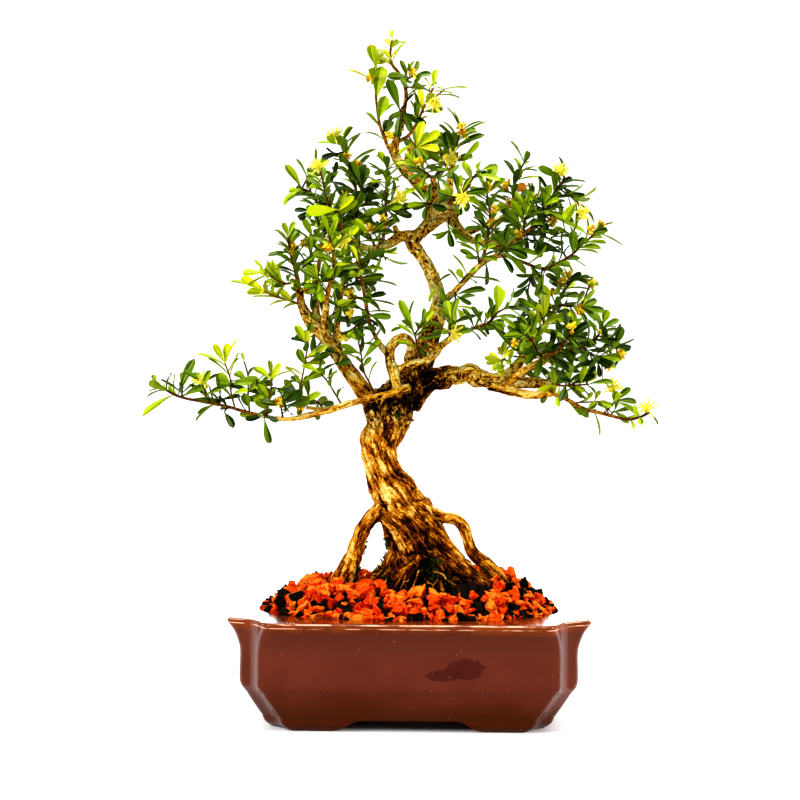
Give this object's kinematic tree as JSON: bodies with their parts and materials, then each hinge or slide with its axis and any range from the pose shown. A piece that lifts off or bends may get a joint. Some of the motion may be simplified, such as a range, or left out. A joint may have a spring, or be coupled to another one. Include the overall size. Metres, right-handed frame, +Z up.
{
  "type": "boxwood bonsai in a glazed pot",
  "caption": "Small gnarled boxwood with stilt roots, crooked trunk and open leafy sprays in bloom, in a low rectangular glazed pot with notched corners.",
  "frame": {"origin": "middle of the footprint of the whole thing, on the table", "axes": "+Z up, the pot and the face of the tree look along -Y, +X to the right of that face"},
  "size_m": [0.3458, 0.178, 0.4658],
  "materials": {
    "glaze": "gloss red-brown glaze",
    "net": "black plastic net",
    "soil": "dark damp crumb",
    "lava": "rough porous chips",
    "bark": "fibrous furrowed bark",
    "leaf": "waxy, slightly glossy"
  },
  "bodies": {
    "root": {"pot": "glaze", "drain_mesh_left": "net", "drain_mesh_right": "net", "soil_mound": "soil", "top_dressing": "lava", "tree_wood": "bark", "low_left_end": "leaf", "low_left_gold": "leaf", "low_left_pair": "leaf", "low_left_up": "leaf", "low_left_back": "leaf", "limb_low": "leaf", "limb_mid": "leaf", "left_far": "leaf", "left_upper": "leaf", "left_behind": "leaf", "left_arm_end": "leaf", "left_crown": "leaf", "left_stem": "leaf", "left_open_bloom": "leaf", "arm_left": "leaf", "thin_stem": "leaf", "shoot_between": "leaf", "left_front": "leaf", "left_inner": "leaf", "left_low": "leaf", "left_rear": "leaf", "leader": "leaf", "left_shoot": "leaf", "right_shoot": "leaf", "crown_rear": "leaf", "crown_stem": "leaf", "crown_right": "leaf", "crown_front": "leaf", "crown_front_right": "leaf", "crown_rear_right": "leaf", "knot_left": "leaf", "knot_below": "leaf", "rise_small": "leaf", "rise_low": "leaf", "rise_up": "leaf", "east_fan": "leaf", "east_top": "leaf", "east_reach": "leaf", "east_low": "leaf", "east_low_left": "leaf", "east_rear": "leaf", "east_rear_low": "leaf", "limb_yellow": "leaf", "limb_top": "leaf", "limb_end": "leaf", "limb_low_right": "leaf", "trail": "leaf", "limb_front": "leaf", "limb_rear": "leaf", "limb_rear_low": "leaf", "front_reach": "leaf", "front_low": "leaf", "rosette": "leaf", "stem_leaves": "leaf"}
  },
  "joints": []
}
